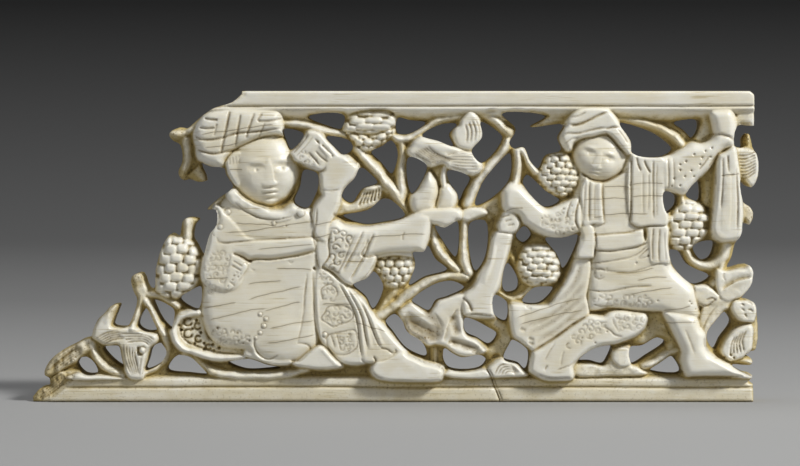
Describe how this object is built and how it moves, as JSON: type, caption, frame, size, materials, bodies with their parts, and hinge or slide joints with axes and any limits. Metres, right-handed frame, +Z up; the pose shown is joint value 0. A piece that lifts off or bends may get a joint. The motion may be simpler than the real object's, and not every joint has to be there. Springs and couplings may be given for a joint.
{
  "type": "carved ivory openwork panel",
  "caption": "Fragment of a pierced ivory panel carved in relief: a seated drinker and a dancer among scrolling vines, leaves and grapes between two grooved rails.",
  "frame": {"origin": "centre of the panel's length and thickness, on the underside of the bottom rail", "axes": "+X along the panel to the viewer's right, -Y out of the carved front, +Y out of the flat back, +Z up"},
  "size_m": [0.1362, 0.011, 0.0583],
  "materials": {
    "ivory": "satin"
  },
  "bodies": {
    "root": {"ivory_panel": "ivory"}
  },
  "joints": []
}
